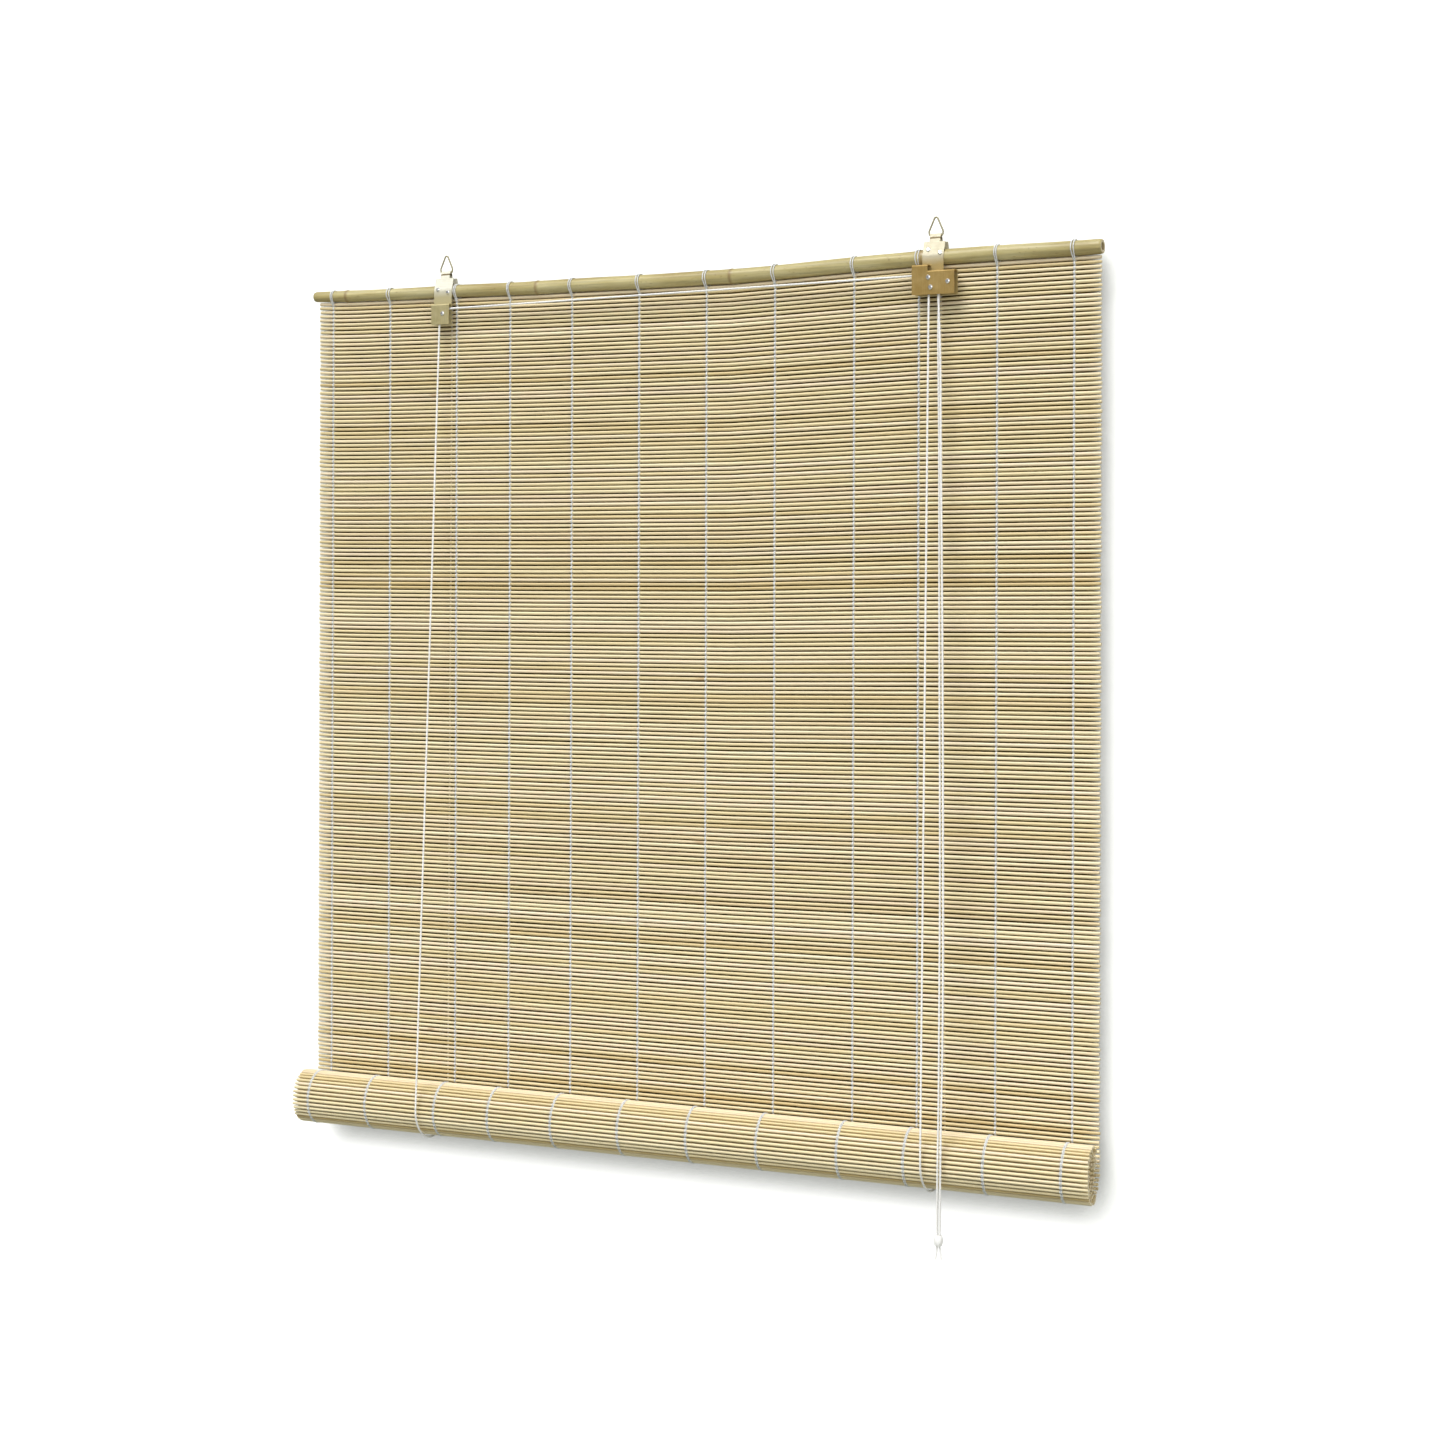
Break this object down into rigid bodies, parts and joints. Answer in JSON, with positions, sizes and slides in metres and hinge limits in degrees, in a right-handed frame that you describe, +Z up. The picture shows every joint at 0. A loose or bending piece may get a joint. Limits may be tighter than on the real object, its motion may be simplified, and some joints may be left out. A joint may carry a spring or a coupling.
{
  "type": "roll up blind",
  "caption": "Bamboo roll up blind: a sheet of round slats on warp cords, hung from a bamboo pole, rolled up from below by cords through a pulley and a cord lock.",
  "frame": {"origin": "on the line through the two wall hooks, over the middle of the slats and in the plane of the sheet", "axes": "+X along the slats to the cord lock's side, +Y towards the wall, +Z up"},
  "size_m": [1.0082, 0.0911, 1.1169],
  "materials": {
    "bamboo_pole": "satin, olive tan bamboo culm",
    "bamboo_slats": "matte, pale round bamboo splits",
    "warp_thread": "twisted grey white thread",
    "cord": "twisted off white cord",
    "brass_plate": "bright brass plated sheet",
    "pulley_brass": "turned, satin",
    "ring_wire": "bright zinc plated wire",
    "nail_steel": "polished heads"
  },
  "bodies": {
    "head": {"head_pole": "bamboo_pole", "slats_held": "bamboo_slats", "slats_taken_up": "bamboo_slats", "warps_held": "warp_thread", "warps_taken_up": "warp_thread", "pole_lashings": "warp_thread", "bracket_left": "brass_plate", "bracket_right": "brass_plate", "case_front_left": "brass_plate", "case_front_lock": "brass_plate", "bracket_nails": "nail_steel", "rivet_left": "nail_steel", "rivets_lock": "nail_steel", "lift_cord_left_back": "cord", "lift_cord_left_front": "cord", "lift_cord_left_head": "cord", "lift_cord_right_back": "cord", "lift_cord_right_front": "cord", "lift_cord_right_head": "cord", "tie_knots": "cord", "pull_cord_left": "cord", "pull_cord_right": "cord", "pull_knot": "cord"},
    "carriage": {"lift_cord_left_loop": "cord", "lift_cord_right_loop": "cord"},
    "roll": {"rolled_slats": "bamboo_slats", "foot_pole": "bamboo_pole"},
    "wheel_left": {"pulley_left": "pulley_brass"},
    "wheel_upper": {"pulley_lock_upper": "pulley_brass"},
    "wheel_lower": {"pulley_lock_lower": "pulley_brass"},
    "cam": {"lock_cam": "pulley_brass"},
    "hanger_left": {"ring_left": "ring_wire"},
    "hanger_right": {"ring_right": "ring_wire"}
  },
  "joints": [
    {"name": "roll_lift", "type": "slide", "parent": "head", "child": "carriage", "axis": [0, 0, 1], "range_m": [0, 0.81], "deforming": ["slats_taken_up", "warps_taken_up", "lift_cord_left_front", "lift_cord_right_front", "lift_cord_left_back", "lift_cord_right_back", "pull_cord_left", "pull_cord_right", "pull_knot"]},
    {"name": "roll_spin", "type": "hinge", "parent": "carriage", "child": "roll", "pos_m": [0, -0.03175, -1.01295], "axis": [1, 0, 0], "range_deg": [-1470, 0]},
    {"name": "pulley_left_spin", "type": "hinge", "parent": "head", "child": "wheel_left", "pos_m": [-0.3145, -0.01105, -0.0723], "axis": [0, 1, 0], "continuous": true},
    {"name": "pulley_upper_spin", "type": "hinge", "parent": "head", "child": "wheel_upper", "pos_m": [0.31, -0.014, -0.0634], "axis": [0, 1, 0], "continuous": true},
    {"name": "pulley_lower_spin", "type": "hinge", "parent": "head", "child": "wheel_lower", "pos_m": [0.3126, -0.014, -0.0742], "axis": [0, 1, 0], "continuous": true},
    {"name": "lock_cam_swing", "type": "hinge", "parent": "head", "child": "cam", "pos_m": [0.3326, -0.014, -0.0687], "axis": [0, -1, 0], "range_deg": [0, 35]},
    {"name": "ring_left_swing", "type": "hinge", "parent": "head", "child": "hanger_left", "pos_m": [-0.3177, 0, -0.02225], "axis": [1, 0, 0], "range_deg": [-85, 85]},
    {"name": "ring_right_swing", "type": "hinge", "parent": "head", "child": "hanger_right", "pos_m": [0.3116, 0, -0.01586], "axis": [1, 0, 0], "range_deg": [-85, 85]}
  ],
  "couplings": [
    {"joint": "roll_spin", "follows": "roll_lift", "rad_per_m": -31.496},
    {"joint": "pulley_left_spin", "follows": "roll_lift", "rad_per_m": 363.64},
    {"joint": "pulley_upper_spin", "follows": "roll_lift", "rad_per_m": 606.06},
    {"joint": "pulley_lower_spin", "follows": "roll_lift", "rad_per_m": 645.16}
  ]
}
